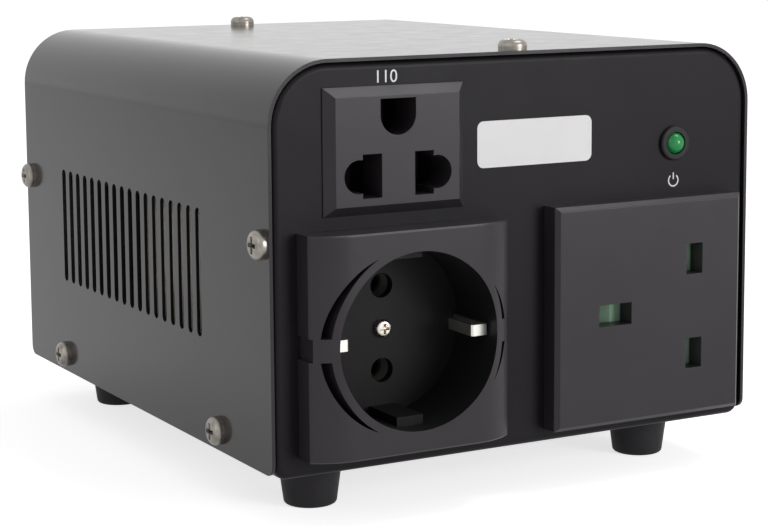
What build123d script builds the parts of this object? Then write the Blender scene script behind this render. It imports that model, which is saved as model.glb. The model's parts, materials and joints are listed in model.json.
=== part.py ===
from build123d import *
import math
import os

os.makedirs("parts", exist_ok=True)

# Millimetres. +X is to the right of someone facing the sockets, +Y is to the rear, +Z is up.
# The origin is under the middle of the whole object, on the surface that it stands on.

# Case: a bent cover over a bent chassis
case_width = 125.6
case_depth = 150.0
cover_height = 88.0
cover_sheet = 0.8
cover_corner_radius = 14.0
cover_foot_corner_radius = 2.5
chassis_sheet = 1.0
chassis_bend_radius = 1.5
chassis_low_corner_radius = 3.0
chassis_side_gap = 0.15
panel_setback = 0.2
cover_seam = 0.1
flange_length = 12.0
low_flange_height = 9.5
low_flange_setback = 17.0
side_flange_start = 16.0
top_flange_end_gap = 3.5

# Vent slots through both sides of the cover
vent_count = 18
vent_pitch = 5.0
vent_width = 2.6
vent_length = 29.2
vent_first = 36.5
vent_low = 24.2

# Machine screws of the case
screw_shank_radius = 1.5
screw_head_radius = 3.25
screw_head_height = 2.3
screw_length = 5.2
screw_clearance = 0.15
thread_clearance = 0.02
left_screw_inset = 3.8
right_screw_inset = 8.0
side_screw_height = 49.4
low_screw_inset = 27.0
low_screw_height = 4.6
top_screw_inset = 4.6

# Feet
foot_height = 11.0
foot_bottom_radius = 5.9
foot_top_radius = 7.4
foot_edge_radius = 0.9
foot_inset = 18.0
foot_well_radius = 4.0
foot_well_depth = 5.5
foot_screw_radius = 2.0
foot_screw_head_radius = 3.5
foot_screw_head_height = 2.4
foot_nut_across_flats = 7.0
foot_nut_height = 3.0
foot_screw_spare = 0.3

# Two-pin and earth socket with slots for flat and round pins
us_width = 34.4
us_height = 27.4
us_left_margin = 12.7
us_gap_below = 2.8
us_lip = 0.3
us_proud = 2.25
us_bevel = 2.1
us_body_width = 30.0
us_body_height = 23.2
us_front_wall = 6.0
us_body_depth = 13.0
us_back_thickness = 2.4
us_blade_spacing = 12.7
us_blade_drop = 5.3
us_slot_width = 4.6
us_slot_height = 9.4
us_round_radius = 3.6
us_round_offset = 9.5
us_earth_rise = 7.1
us_earth_width = 8.6
us_earth_height = 7.8
us_catch_reach = 1.0
us_catch_length = 3.0
us_catch_width = 8.0
us_pocket_spare = 0.15

# Round recessed socket with side earth clips
round_width = 49.0
round_height = 48.4
round_left_margin = 6.5
round_low_margin = 3.3
round_edge_proud = 5.4
round_crown_proud = 8.6
round_crown_width = 30.0
round_bevel = 0.4
round_ring_proud = 8.2
round_ring_shift = 0.8
round_groove_widths = {-1: 2.2, 1: 1.0}
round_groove_angles = {-1: 61.0, 1: 30.0}
round_groove_depth = 3.0
round_ring_radius = 21.3
round_recess_radius = 19.5
round_recess_depth = 17.4
round_floor = 2.2
round_bridge_height = 5.0
round_bridge_notch = 0.6
round_pin_spacing = 19.0
round_pin_hole_radius = 2.75
round_rib_width = 6.5
round_rib_reach = 2.2
round_rib_start = 5.0
round_base_width = 47.0
round_base_depth = 24.0
round_base_corner_radius = 3.0
round_sleeve_radius = 3.1
round_sleeve_bore = 2.45
round_sleeve_length = 6.5
round_sleeve_setback = 4.0
round_sleeve_slit = 0.8
round_sleeve_end = 1.0
clip_width = 2.5
clip_reach = 4.3
clip_sheet = 0.8
clip_wall_gap = 0.2
clip_start = 4.1
clip_arm_length = 10.0
clip_bend = 0.4
clip_slot_spare = 0.1
clip_eye_radius = 3.6
centre_screw_head_radius = 2.1
centre_screw_head_height = 1.5
centre_screw_radius = 1.4
centre_screw_end_gap = 4.0

# Rectangular-pin socket, turned so that its earth slot is at the left
uk_width = 51.8
uk_height = 51.1
uk_right_margin = 5.3
uk_low_margin = 2.0
uk_proud = 5.2
uk_chamfer = 1.0
uk_body_width = 45.0
uk_front_wall = 4.5
uk_body_wall = 1.6
uk_earth_offset = -9.9
uk_earth_length = 8.9
uk_earth_height = 5.0
uk_pin_offset = 12.3
uk_pin_spacing = 22.2
uk_pin_width = 4.5
uk_pin_height = 7.1
uk_shutter_room = 3.4
uk_back_width = 48.0
uk_back_depth = 21.0
uk_back_corner_radius = 2.0
uk_screw_offset = 20.4
uk_screw_radius = 1.08
uk_screw_head_radius = 2.2
uk_screw_head_height = 1.6
uk_screw_bite = 1.8
uk_boss_radius = 2.2
uk_boss_bore = 1.1
uk_bore_spare = 0.7
uk_pocket_setback = 1.6
uk_pocket_spare = 0.15
shutter_thickness = 2.8
shutter_margin = 0.5
shutter_travel = 5.2
shutter_stop_gap = 0.1
shutter_stop_height = 4.0
shutter_end_margin = 4.0
shutter_arm_height = 7.0
shutter_ramp_reach = 5.5
shutter_clearance = 0.3
spring_strip = 0.35
spring_height = 12.0

# Brass contacts of the sockets
contact_sheet = 0.6
contact_length = 7.0
contact_tail_length = 6.0
contact_tail_width = 4.0

# Indicator lamp
lamp_right_margin = 21.4
lamp_top_margin = 22.8
lamp_holder_radius = 4.0
lamp_holder_proud = 1.0
lamp_holder_barrel_radius = 3.2
lamp_holder_depth = 5.0
lamp_holder_edge_radius = 0.5
lamp_holder_catch_reach = 0.35
lamp_holder_catch_length = 1.2
lamp_radius = 2.5
lamp_proud = 2.4
lamp_length = 8.6
lamp_rim_radius = 2.9
lamp_rim_length = 1.0
lamp_lead_width = 0.5
lamp_lead_spacing = 2.54
lamp_lead_length = 9.0

# Blank label
label_width = 30.2
label_height = 10.3
label_offset_x = 3.1
label_top_margin = 20.25
label_corner_radius = 1.6
label_thickness = 0.25

# Ring-shaped transformer
ring_centre_y = 84.5
winding_radius = 52.0
winding_bore_radius = 15.0
winding_height = 52.0
winding_edge_radius = 10.0
film_thickness = 0.5
core_outer_radius = 43.0
core_inner_radius = 25.0
core_height = 36.0
pad_thickness = 1.5
pad_inner_radius = 26.0
pad_outer_radius = 40.0
dish_sheet = 1.5
dish_well_radius = 9.0
dish_well_depth = 4.0
ring_bolt_radius = 3.0
ring_bolt_head_across_flats = 10.0
ring_bolt_head_height = 4.0
ring_bolt_spare = 2.0
ring_nut_height = 5.0

# Rear row: mains inlet, breaker and rocker, all at one height
rear_row_top_margin = 21.1
inlet_centre_x = -36.0
breaker_centre_x = 0.0
rocker_centre_x = 36.0

# Mains inlet
inlet_bezel_width = 31.0
inlet_bezel_height = 24.0
inlet_bezel_proud = 2.2
inlet_bezel_corner_radius = 1.8
inlet_bezel_edge_radius = 0.6
inlet_body_width = 27.2
inlet_body_height = 19.8
inlet_body_depth = 18.0
inlet_well_width = 24.4
inlet_well_height = 16.6
inlet_well_corner = 4.6
inlet_well_depth = 17.0
inlet_pin_spacing = 7.0
inlet_earth_rise = 4.0
inlet_pin_width = 2.0
inlet_pin_height = 4.0
inlet_pin_length = 14.5
inlet_tab_width = 0.8
inlet_tab_height = 6.3
inlet_tab_length = 7.5
inlet_pin_drop = 0.5
inlet_pin_tip = 0.5
inlet_tab_fold = 2.5
catch_reach = 1.2
catch_length = 5.0
catch_width = 9.0

# Rocker switch
rocker_bezel_width = 31.0
rocker_bezel_height = 25.0
rocker_bezel_proud = 1.8
rocker_bezel_corner_radius = 1.5
rocker_bezel_edge_radius = 0.5
rocker_body_width = 28.0
rocker_body_height = 21.6
rocker_body_depth = 20.0
rocker_well_width = 24.4
rocker_well_height = 18.2
rocker_well_depth = 9.0
rocker_gap = 0.3
rocker_pivot_depth = 2.6
rocker_end_proud = 3.6
rocker_middle_proud = 1.9
rocker_skirt = 3.0
rocker_pin_radius = 1.5
rocker_pin_length = 1.3
rocker_pin_clearance = 0.05
rocker_tab_spacing = 8.0

# Push-to-reset breaker
breaker_barrel_radius = 5.0
breaker_barrel_proud = 5.2
breaker_bore_radius = 3.4
breaker_bore_depth = 16.0
breaker_nut_across_flats = 14.0
breaker_nut_height = 2.5
breaker_body_width = 15.0
breaker_body_height = 16.0
breaker_body_depth = 24.0
breaker_body_gap = 1.2
breaker_shoulder = 1.6
breaker_tab_offset = 5.0
button_proud = 3.6
button_length = 12.0
button_edge_radius = 0.8
button_bore_clearance = 0.05

# Earth stud on the chassis floor
stud_side_margin = 16.8
stud_y = 120.0
stud_radius = 2.0
stud_height = 10.0
stud_nut_across_flats = 7.0
stud_nut_height = 3.2
stud_washer_radius = 4.5
stud_washer_thickness = 0.8

# Fit of pressed and seated pieces
seat_clearance = 0.05
cutout_clearance = 0.2

# Places worked out from the sizes above
front_reach = round_crown_proud
rear_reach = breaker_barrel_proud + button_proud
overall_depth = front_reach + case_depth + rear_reach
front_y = front_reach - overall_depth / 2
rear_y = front_y + case_depth
chassis_z = foot_height
floor_z = chassis_z + chassis_sheet
cover_z = floor_z + cover_seam
cover_top_z = cover_z + cover_height
half_width = case_width / 2
chassis_half = half_width - cover_sheet - chassis_side_gap
panel_y = front_y + panel_setback
rear_panel_y = rear_y - panel_setback
panel_back_y = panel_y + chassis_sheet
ring_y = front_y + ring_centre_y
ring_x = 0.0
row_z = cover_top_z - rear_row_top_margin
round_plate_x = round_left_margin + round_width / 2 - half_width
round_x = round_plate_x + round_ring_shift
round_z = cover_z + round_low_margin + round_height / 2
us_x = us_left_margin + us_width / 2 - half_width
us_z = round_z + round_height / 2 + us_gap_below + us_height / 2
uk_x = half_width - uk_right_margin - uk_width / 2
uk_z = cover_z + uk_low_margin + uk_height / 2
lamp_x = half_width - lamp_right_margin
lamp_z = cover_top_z - lamp_top_margin
stud_x = half_width - stud_side_margin


def write(name, *solids):
    """Write one sub-part: one solid, or a group of separate solids."""
    shape = solids[0] if len(solids) == 1 else Compound(children=list(solids))
    export_step(shape, "parts/" + name + ".step")


def block(x, y, z):
    """Box between two values on each axis."""
    size = [high - low for low, high in (x, y, z)]
    middle = [(high + low) / 2 for low, high in (x, y, z)]
    return Pos(*middle) * Box(*size)


def around(middle, length):
    """Low and high value of a length centred on a value."""
    return (middle - length / 2, middle + length / 2)


def rod_x(radius, x, y, z):
    """Cylinder along X between two x values."""
    return Pos(sum(x) / 2, y, z) * Rot(0, 90, 0) * Cylinder(radius, x[1] - x[0])


def rod_y(radius, x, y, z):
    """Cylinder along Y between two y values."""
    return Pos(x, sum(y) / 2, z) * Rot(90, 0, 0) * Cylinder(radius, y[1] - y[0])


def rod_z(radius, x, y, z):
    """Cylinder along Z between two z values."""
    return Pos(x, y, sum(z) / 2) * Cylinder(radius, z[1] - z[0])


def hex_z(across_flats, x, y, z):
    """Hexagonal prism standing between two z values."""
    outline = RegularPolygon(across_flats / 2, 6, major_radius=False)
    return Pos(x, y, z[0]) * extrude(outline, z[1] - z[0])


def plate_xy(points, z):
    """Straight-sided outline in X and Y, drawn up between two z values."""
    outline = make_face(Polyline(*points, close=True))
    return Pos(0, 0, z[0]) * extrude(outline, z[1] - z[0])


def rounded_y(width, height, radius, x, y, z):
    """Block with rounded corners as seen from the front."""
    body = block(around(x, width), y, around(z, height))
    return fillet(body.edges().filter_by(Axis.Y), radius)


def pan_screw(shank_radius, head_radius, head_height, length):
    """Cross-recess pan head screw: the head above Z = 0, the shank below it."""
    head = Cylinder(head_radius, head_height, align=(Align.CENTER, Align.CENTER, Align.MIN))
    crown = head.edges().group_by(Axis.Z)[-1]
    head = fillet(crown, head_height * 0.62)
    recess_width = head_radius * 0.3
    recess_length = head_radius * 1.15
    recess_depth = head_height * 0.6
    for turn in (0, 90):
        arm = extrude(Rectangle(recess_length, recess_width), -recess_depth, taper=12)
        head -= Pos(0, 0, head_height) * Rot(0, 0, turn) * arm
    shank = Pos(0, 0, -length / 2) * Cylinder(shank_radius, length)
    return head + shank


# Where each screw goes: a point on the surface under its head, for the left side, the right side and the top
side_screw_places = {
    side: [
        (front_y + inset, cover_z + side_screw_height),
        (rear_y - inset, cover_z + side_screw_height),
        (front_y + low_screw_inset, cover_z + low_screw_height),
        (rear_y - low_screw_inset, cover_z + low_screw_height),
    ]
    for side, inset in ((-1, left_screw_inset), (1, right_screw_inset))
}
top_screw_places = [front_y + top_screw_inset, rear_y - top_screw_inset]
foot_places = {
    "front_left": (-half_width + foot_inset, front_y + foot_inset),
    "front_right": (half_width - foot_inset, front_y + foot_inset),
    "rear_left": (-half_width + foot_inset, rear_y - foot_inset),
    "rear_right": (half_width - foot_inset, rear_y - foot_inset),
}


def side_screw_holes(radius):
    """Cutting rods for the screws of both sides."""
    inner = half_width - cover_corner_radius
    outer = half_width + 1
    return [rod_x(radius, tuple(sorted((side * inner, side * outer))), y, z)
            for side, places in side_screw_places.items() for y, z in places]


def arch(inset, y):
    """The cover's outside shape drawn in by an inset, as a solid between two y values."""
    half = half_width - inset
    body = block((-half, half), y, (cover_z, cover_top_z - inset))
    upper = body.edges().filter_by(Axis.Y).group_by(Axis.Z)[-1]
    return fillet(upper, cover_corner_radius - inset)


def make_cover():
    cover = arch(0, (front_y, rear_y))
    low_corners = cover.edges().filter_by(Axis.X).group_by(Axis.Z)[0]
    cover = fillet(low_corners, cover_foot_corner_radius)
    inside = arch(cover_sheet, (front_y - 1, rear_y + 1))
    below = block((-half_width + cover_sheet, half_width - cover_sheet),
                  (front_y - 1, rear_y + 1), (chassis_z - 1, cover_z + 1))
    cover = cover - inside - below
    across = (-half_width - 1, half_width + 1)
    middle = vent_low + vent_length / 2 + cover_z
    for number in range(vent_count):
        y = front_y + vent_first + number * vent_pitch
        straight = block(across, around(y, vent_width), around(middle, vent_length - vent_width))
        ends = [rod_x(vent_width / 2, across, y, middle + side * (vent_length - vent_width) / 2)
                for side in (-1, 1)]
        cover -= [straight] + ends
    hole = screw_shank_radius + screw_clearance
    cover -= side_screw_holes(hole)
    for y in top_screw_places:
        cover -= rod_z(hole, 0, y, (cover_top_z - cover_sheet - 1, cover_top_z + 1))
    return cover


def pan(inset):
    """Closed box inside the cover, drawn in by an inset: the chassis is cut from two of them."""
    half = chassis_half - inset
    top = cover_top_z - cover_sheet - chassis_side_gap - inset
    upper_radius = cover_corner_radius - cover_sheet - chassis_side_gap - inset
    body = block((-half, half), (panel_y + inset, rear_panel_y - inset), (chassis_z + inset, top))
    lengthwise = body.edges().filter_by(Axis.Y).group_by(Axis.Z)
    body = fillet(lengthwise[-1], upper_radius)
    lengthwise = body.edges().filter_by(Axis.Y).group_by(Axis.Z)
    body = fillet(lengthwise[0], chassis_low_corner_radius - inset)
    ends = body.faces().sort_by(Axis.Y)
    rims = ends[0].edges() + ends[-1].edges()
    return fillet(rims, chassis_bend_radius - inset)


def make_chassis():
    chassis = pan(0) - pan(chassis_sheet)
    wide = (-half_width, half_width)
    top = cover_top_z
    flange_front = front_y + flange_length
    flange_rear = rear_y - flange_length
    low_top = cover_z + low_flange_height
    chassis -= block(wide, (flange_front, flange_rear), (low_top, top))
    corner_z = cover_top_z - cover_corner_radius - top_flange_end_gap
    corner_x = half_width - cover_corner_radius - top_flange_end_gap
    bend_front = panel_y + chassis_bend_radius
    bend_rear = rear_panel_y - chassis_bend_radius
    notch = (chassis_z + chassis_low_corner_radius, cover_z + side_flange_start)
    for side in (-1, 1):
        outer = tuple(sorted((side * corner_x, side * half_width)))
        for y in ((bend_front, flange_front), (flange_rear, bend_rear)):
            chassis -= block(outer, y, (corner_z, top))
        outer = tuple(sorted((side * (chassis_half - chassis_sheet - 0.5), side * half_width)))
        for y in ((bend_front, front_y + low_flange_setback), (rear_y - low_flange_setback, bend_rear)):
            chassis -= block(outer, y, notch)
    hole = screw_shank_radius + thread_clearance
    chassis -= side_screw_holes(hole)
    for y in top_screw_places:
        chassis -= rod_z(hole, 0, y, (cover_top_z - flange_length, cover_top_z))
    for x, y in foot_places.values():
        chassis -= rod_z(foot_screw_radius + screw_clearance, x, y, (0, floor_z + 1))
    chassis -= rod_z(ring_bolt_radius + screw_clearance, ring_x, ring_y, (0, floor_z + 1))
    chassis -= rod_z(stud_radius + thread_clearance, stud_x, front_y + stud_y, (0, floor_z + 1))
    through_front = (panel_y - 1, panel_back_y + 0.5)
    through_rear = (rear_panel_y - chassis_sheet - 0.5, rear_panel_y + 1)
    spare = 2 * cutout_clearance
    chassis -= block(around(us_x, us_body_width + spare), through_front,
                     around(us_z, us_body_height + spare))
    chassis -= rod_y(round_ring_radius + cutout_clearance, round_x, through_front, round_z)
    chassis -= block(around(uk_x, uk_body_width + spare), through_front,
                     around(uk_z, uk_body_width + spare))
    chassis -= rod_y(lamp_holder_barrel_radius + seat_clearance, lamp_x, through_front, lamp_z)
    chassis -= block(around(inlet_centre_x, inlet_body_width + spare), through_rear,
                     around(row_z, inlet_body_height + spare))
    chassis -= block(around(rocker_centre_x, rocker_body_width + spare), through_rear,
                     around(row_z, rocker_body_height + spare))
    chassis -= rod_y(breaker_barrel_radius + cutout_clearance, breaker_centre_x, through_rear, row_z)
    return chassis


def case_screw():
    return pan_screw(screw_shank_radius, screw_head_radius, screw_head_height, screw_length)


def make_side_screws():
    return [Pos(side * half_width, y, z) * Rot(0, side * 90, 0) * case_screw()
            for side, places in side_screw_places.items() for y, z in places]


def make_top_screws():
    return [Pos(0, y, cover_top_z) * case_screw() for y in top_screw_places]


def make_foot(x, y):
    foot = Pos(x, y, foot_height / 2) * Cone(foot_bottom_radius, foot_top_radius, foot_height)
    foot = fillet(foot.edges().group_by(Axis.Z)[0], foot_edge_radius)
    foot -= rod_z(foot_well_radius, x, y, (-1, foot_well_depth))
    return foot - rod_z(foot_screw_radius + seat_clearance, x, y, (0, foot_height + 1))


def make_foot_screw(x, y):
    length = floor_z + foot_nut_height + foot_screw_spare - foot_well_depth
    screw = pan_screw(foot_screw_radius, foot_screw_head_radius, foot_screw_head_height, length)
    return Pos(x, y, foot_well_depth) * Rot(180, 0, 0) * screw


def make_foot_nut(x, y):
    high = floor_z + foot_nut_height
    nut = hex_z(foot_nut_across_flats, x, y, (floor_z, high))
    return nut - rod_z(foot_screw_radius + thread_clearance, x, y, (floor_z - 1, high + 1))


def flat_contact(opening, height, x, y, z, tail_end, across=True):
    """Folded strip with two leaves beside a pin, a web behind the pin and a tail to the rear.

    The leaves stand left and right of the pin, or above and below it where across is False.
    """
    front, web = y
    leaf = (opening / 2, opening / 2 + contact_sheet)
    tall = around(0, height)
    strip = block(around(0, 2 * leaf[1]), (web - contact_sheet, web), tall)
    for side in (-1, 1):
        strip += block(tuple(sorted((side * leaf[0], side * leaf[1]))), (front, web), tall)
    strip += block(around(0, contact_sheet), (web, tail_end), around(0, contact_tail_width))
    return Pos(x, 0, z) * Rot(0, 0 if across else 90, 0) * strip


def us_slots(y):
    """The openings of the flat and round pin socket, between two y values."""
    blade_z = us_z - us_blade_drop
    shapes = []
    for side in (-1, 1):
        x = us_x + side * us_blade_spacing / 2
        shapes.append(block(around(x, us_slot_width), y, around(blade_z, us_slot_height)))
        shapes.append(rod_y(us_round_radius, us_x + side * us_round_offset, y, blade_z))
    radius = us_earth_width / 2
    low, high = around(us_z + us_earth_rise, us_earth_height)
    wide = around(us_x, us_earth_width)
    shapes.append(rod_y(radius, us_x, y, low + radius) & block(wide, y, (low, low + radius)))
    shapes.append(block(wide, y, (low + radius, high)))
    return shapes


us_wall_y = panel_y + us_front_wall
us_back_y = panel_y + us_body_depth
us_pin_low = us_blade_spacing / 2 - us_slot_width / 2
us_pin_high = us_round_offset + us_round_radius
us_pin_opening = us_pin_high - us_pin_low

def us_contact_places():
    """Middle of each blade contact, and of the earth contact."""
    blade_z = us_z - us_blade_drop
    offset = (us_pin_low + us_pin_high) / 2
    blades = [(us_x + side * offset, blade_z) for side in (-1, 1)]
    return blades, (us_x, us_z + us_earth_rise)


def us_pocket(x, z, opening, height):
    wide = opening + 2 * contact_sheet + 2 * us_pocket_spare
    return block(around(x, wide), (us_wall_y, us_back_y + 1), around(z, height + 2 * us_pocket_spare))


def make_us_body():
    outline = Rectangle(us_width, us_height)
    lip = extrude(outline, us_lip)
    taper = math.degrees(math.atan(us_bevel / (us_proud - us_lip)))
    crown = Pos(0, 0, us_lip) * extrude(outline, us_proud - us_lip, taper=taper)
    flange = Pos(us_x, panel_y, us_z) * Rot(90, 0, 0) * (lip + crown)
    body = flange + block(around(us_x, us_body_width), (panel_y, us_back_y), around(us_z, us_body_height))
    catch_y = panel_back_y + seat_clearance
    wedge = make_face(Polyline((0, 0), (0, us_catch_reach), (us_catch_length, 0), close=True))
    wedge = Rot(0, 0, 90) * Rot(90, 0, 0) * extrude(wedge, -us_catch_width)
    catch = Pos(us_x - us_catch_width / 2, catch_y, us_z + us_body_height / 2) * wedge
    body += [catch, mirror(catch, about=Plane.XY.offset(us_z))]
    body -= us_slots((panel_y - us_proud - 1, us_wall_y + 0.01))
    blades, earth = us_contact_places()
    for x, z in blades:
        body -= us_pocket(x, z, us_pin_opening, us_slot_height)
    return body - us_pocket(*earth, us_earth_width, us_earth_height)


def make_us_back():
    y = (us_back_y, us_back_y + us_back_thickness)
    back = block(around(us_x, us_body_width), y, around(us_z, us_body_height))
    blades, earth = us_contact_places()
    for x, z in blades + [earth]:
        wide = contact_sheet + 2 * seat_clearance
        tall = contact_tail_width + 2 * seat_clearance
        back -= block(around(x, wide), (y[0] - 1, y[1] + 1), around(z, tall))
    return back


def us_contact(x, z, opening, height):
    y = (us_wall_y + seat_clearance, us_back_y - seat_clearance)
    return flat_contact(opening, height, x, y, z, us_back_y + us_back_thickness + contact_tail_length)


round_ring_y = panel_y - round_ring_proud
round_floor_y = round_ring_y + round_recess_depth
round_base_front = panel_back_y
round_base_back = panel_y + round_base_depth
round_cup_back = round_floor_y + round_floor
round_sleeve_front = round_cup_back + round_sleeve_setback
round_sleeve_back = round_sleeve_front + round_sleeve_length
clip_leg_x = round_recess_radius - clip_wall_gap
clip_strip_back = round_cup_back + seat_clearance + clip_sheet


def round_rod(radius, y, offset_x=0.0, offset_z=0.0):
    """Cylinder along Y on the recess's own axis, or beside it."""
    return rod_y(radius, round_x + offset_x, y, round_z + offset_z)


def round_groove(side):
    """Crescent outside the ring, in two parts with a bridge between them at mid height."""
    reach = round_ring_radius + round_groove_widths[side]
    meeting = round_ring_radius * math.cos(math.radians(round_groove_angles[side]))
    shift = (reach ** 2 - round_ring_radius ** 2) / (2 * (reach - meeting))
    y = (panel_y - round_crown_proud - 1, panel_y - round_edge_proud + round_groove_depth)
    crescent = round_rod(reach - shift, y, side * shift) - round_rod(round_ring_radius, y)
    return crescent - block(around(round_x, 2 * reach + 1), y, around(round_z, round_bridge_height))


def make_round_plate():
    """Square plate, flat in the middle and falling away in an arc to both sides, with a bevel round it."""
    half = round_width / 2
    flat = round_crown_width / 2
    edge_y = panel_y - round_edge_proud
    crown_y = panel_y - round_crown_proud
    front = [
        TangentArc((-flat, crown_y), (-half, edge_y), tangent=(-1, 0)),
        Line((-flat, crown_y), (flat, crown_y)),
        TangentArc((flat, crown_y), (half, edge_y), tangent=(1, 0)),
        Polyline((half, edge_y), (half, panel_y), (-half, panel_y), (-half, edge_y)),
    ]
    plate = extrude(make_face(Curve() + front), round_height)
    curved = plate.faces().filter_by(GeomType.CYLINDER)
    rim = [edge for edge in (curved + plate.faces().sort_by(Axis.Y)[:1]).edges()
           if abs(abs(edge.center().X) - flat) > 0.01]
    plate = chamfer(rim, round_bevel)
    plate = Pos(round_plate_x, 0, round_z - round_height / 2) * plate
    for side in (-1, 1):
        plate -= round_groove(side)
        edge = round_plate_x + side * half
        notch = tuple(sorted((edge - side * round_bridge_notch, edge + side)))
        plate -= block(notch, (crown_y - 1, panel_y + 1), around(round_z, round_bridge_height))
    return plate


def make_round_face():
    """Plate and cup in one, and the recess with its ribs and holes."""
    face = make_round_plate() + round_rod(round_ring_radius, (panel_y - round_edge_proud, round_cup_back))
    face -= round_rod(round_recess_radius, (panel_y - round_crown_proud - 1, round_floor_y))
    through = (round_floor_y - 1, round_cup_back + 1)
    rib_inner = round_recess_radius - round_rib_reach
    rib_outer = (round_recess_radius + round_ring_radius) / 2
    for side in (-1, 1):
        rib_y = (round_ring_y + round_rib_start, round_floor_y + 0.5)
        rib_z = sorted((round_z + side * rib_inner, round_z + side * rib_outer))
        face += block(around(round_x, round_rib_width), rib_y, tuple(rib_z))
        face -= round_rod(round_pin_hole_radius, through, 0, side * round_pin_spacing / 2)
        slot_outer = clip_leg_x + clip_slot_spare
        slot_inner = clip_leg_x - clip_sheet - clip_slot_spare
        slot_x = sorted((round_x + side * slot_inner, round_x + side * slot_outer))
        face -= block(tuple(slot_x), through, around(round_z, clip_width + 2 * clip_slot_spare))
    return face - round_rod(centre_screw_radius + screw_clearance, through)


def make_earth_clip():
    """One bent strip: behind the cup, up both sides of the recess, then folded in to a spring arm."""
    z = around(0, clip_width)
    start = round_ring_y + clip_start
    end = start + clip_arm_length
    clip = block((-clip_leg_x, clip_leg_x), (clip_strip_back - clip_sheet, clip_strip_back), z)
    inner = round_recess_radius - clip_reach
    for side in (-1, 1):
        fold = [(clip_leg_x, clip_strip_back), (clip_leg_x, start + clip_bend),
                (clip_leg_x - clip_bend, start), (inner + clip_bend, start), (inner, start + clip_bend),
                (inner, end), (inner + clip_sheet, end), (inner + clip_sheet, start + clip_sheet),
                (clip_leg_x - clip_sheet, start + clip_sheet), (clip_leg_x - clip_sheet, clip_strip_back)]
        clip += plate_xy([(side * x, y) for x, y in fold], z)
    clip += rod_y(clip_eye_radius, 0, (clip_strip_back - clip_sheet, clip_strip_back), 0)
    clip = Pos(round_x, 0, round_z) * clip
    eye = (clip_strip_back - clip_sheet - 1, clip_strip_back + 1)
    return clip - round_rod(centre_screw_radius + screw_clearance, eye)


def make_round_base():
    """Square base behind the panel, with a seat for the cup and the strip, and a well for each sleeve."""
    y = (round_base_front, round_base_back)
    base = rounded_y(round_base_width, round_base_width, round_base_corner_radius, round_x, y, round_z)
    strip_end = (y[0] - 1, clip_strip_back + seat_clearance)
    base -= round_rod(round_ring_radius + seat_clearance, (y[0] - 1, round_cup_back + seat_clearance))
    base -= block(around(round_x, 2 * (clip_leg_x + clip_slot_spare)), strip_end,
                  around(round_z, clip_width + 2 * clip_slot_spare))
    base -= round_rod(clip_eye_radius + clip_slot_spare, strip_end)
    well = (y[0] - 1, round_sleeve_back + seat_clearance)
    for side in (-1, 1):
        offset = side * round_pin_spacing / 2
        base -= round_rod(round_sleeve_radius + seat_clearance, well, 0, offset)
        base -= block(around(round_x, contact_tail_width + 2 * seat_clearance),
                      (round_sleeve_front, round_base_back + 1),
                      around(round_z + offset, contact_sheet + 2 * seat_clearance))
    bore = (y[0] - 1, y[1] - centre_screw_end_gap / 2)
    return base - round_rod(centre_screw_radius + thread_clearance, bore)


def make_round_contact(side):
    """Sleeve with a lengthwise slit for one round pin, and a flat tail."""
    offset = side * round_pin_spacing / 2
    bore_end = round_sleeve_back - round_sleeve_end
    sleeve = round_rod(round_sleeve_radius, (round_sleeve_front, round_sleeve_back), 0, offset)
    sleeve -= round_rod(round_sleeve_bore, (round_sleeve_front - 1, bore_end), 0, offset)
    slit_y = (round_sleeve_front - 1, bore_end - round_sleeve_end)
    slit_z = sorted((round_z + offset, round_z + offset + side * (round_sleeve_radius + 1)))
    sleeve -= block(around(round_x, round_sleeve_slit), slit_y, tuple(slit_z))
    tail_y = (bore_end, round_base_back + contact_tail_length)
    tail_z = around(round_z + offset, contact_sheet)
    return sleeve + block(around(round_x, contact_tail_width), tail_y, tail_z)


def make_centre_screw():
    length = round_base_back - centre_screw_end_gap - round_floor_y
    screw = pan_screw(centre_screw_radius, centre_screw_head_radius, centre_screw_head_height, length)
    return Pos(round_x, round_floor_y, round_z) * Rot(90, 0, 0) * screw


uk_wall_y = panel_y - uk_proud + uk_front_wall
uk_room_back = uk_wall_y + uk_shutter_room
uk_face_back = uk_room_back
uk_back_front = uk_room_back
uk_back_end = panel_y + uk_back_depth


def make_uk_face():
    outer = block(around(uk_x, uk_width), (panel_y - uk_proud, panel_y), around(uk_z, uk_height))
    front_rim = outer.faces().sort_by(Axis.Y)[0].edges()
    face = chamfer(front_rim, uk_chamfer)
    face += block(around(uk_x, uk_body_width), (panel_y - 1, uk_face_back), around(uk_z, uk_body_width))
    room = uk_body_width - 2 * uk_body_wall
    face -= block(around(uk_x, room), (uk_wall_y, uk_face_back + 1), around(uk_z, room))
    through = (panel_y - uk_proud - 1, uk_wall_y + 1)
    face -= block(around(uk_x + uk_earth_offset, uk_earth_length), through, around(uk_z, uk_earth_height))
    for side in (-1, 1):
        z = uk_z + side * uk_pin_spacing / 2
        face -= block(around(uk_x + uk_pin_offset, uk_pin_width), through, around(z, uk_pin_height))
        boss_z = uk_z + side * uk_screw_offset
        boss = rod_y(uk_boss_radius, uk_x - uk_screw_offset, (uk_wall_y - 0.5, uk_face_back), boss_z)
        face += boss & block(around(uk_x, room + 1), (uk_wall_y - 1, uk_face_back), around(uk_z, room + 1))
        bore = (uk_wall_y - uk_screw_bite - uk_bore_spare, uk_face_back + 1)
        face -= rod_y(uk_boss_bore, uk_x - uk_screw_offset, bore, boss_z)
        stop = uk_x + uk_pin_offset + uk_pin_width / 2 + shutter_margin + shutter_travel + shutter_stop_gap
        face += block((stop, uk_x + room / 2 + 0.5), (uk_wall_y - 0.5, uk_face_back),
                      around(z, shutter_stop_height))
    return face


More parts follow.
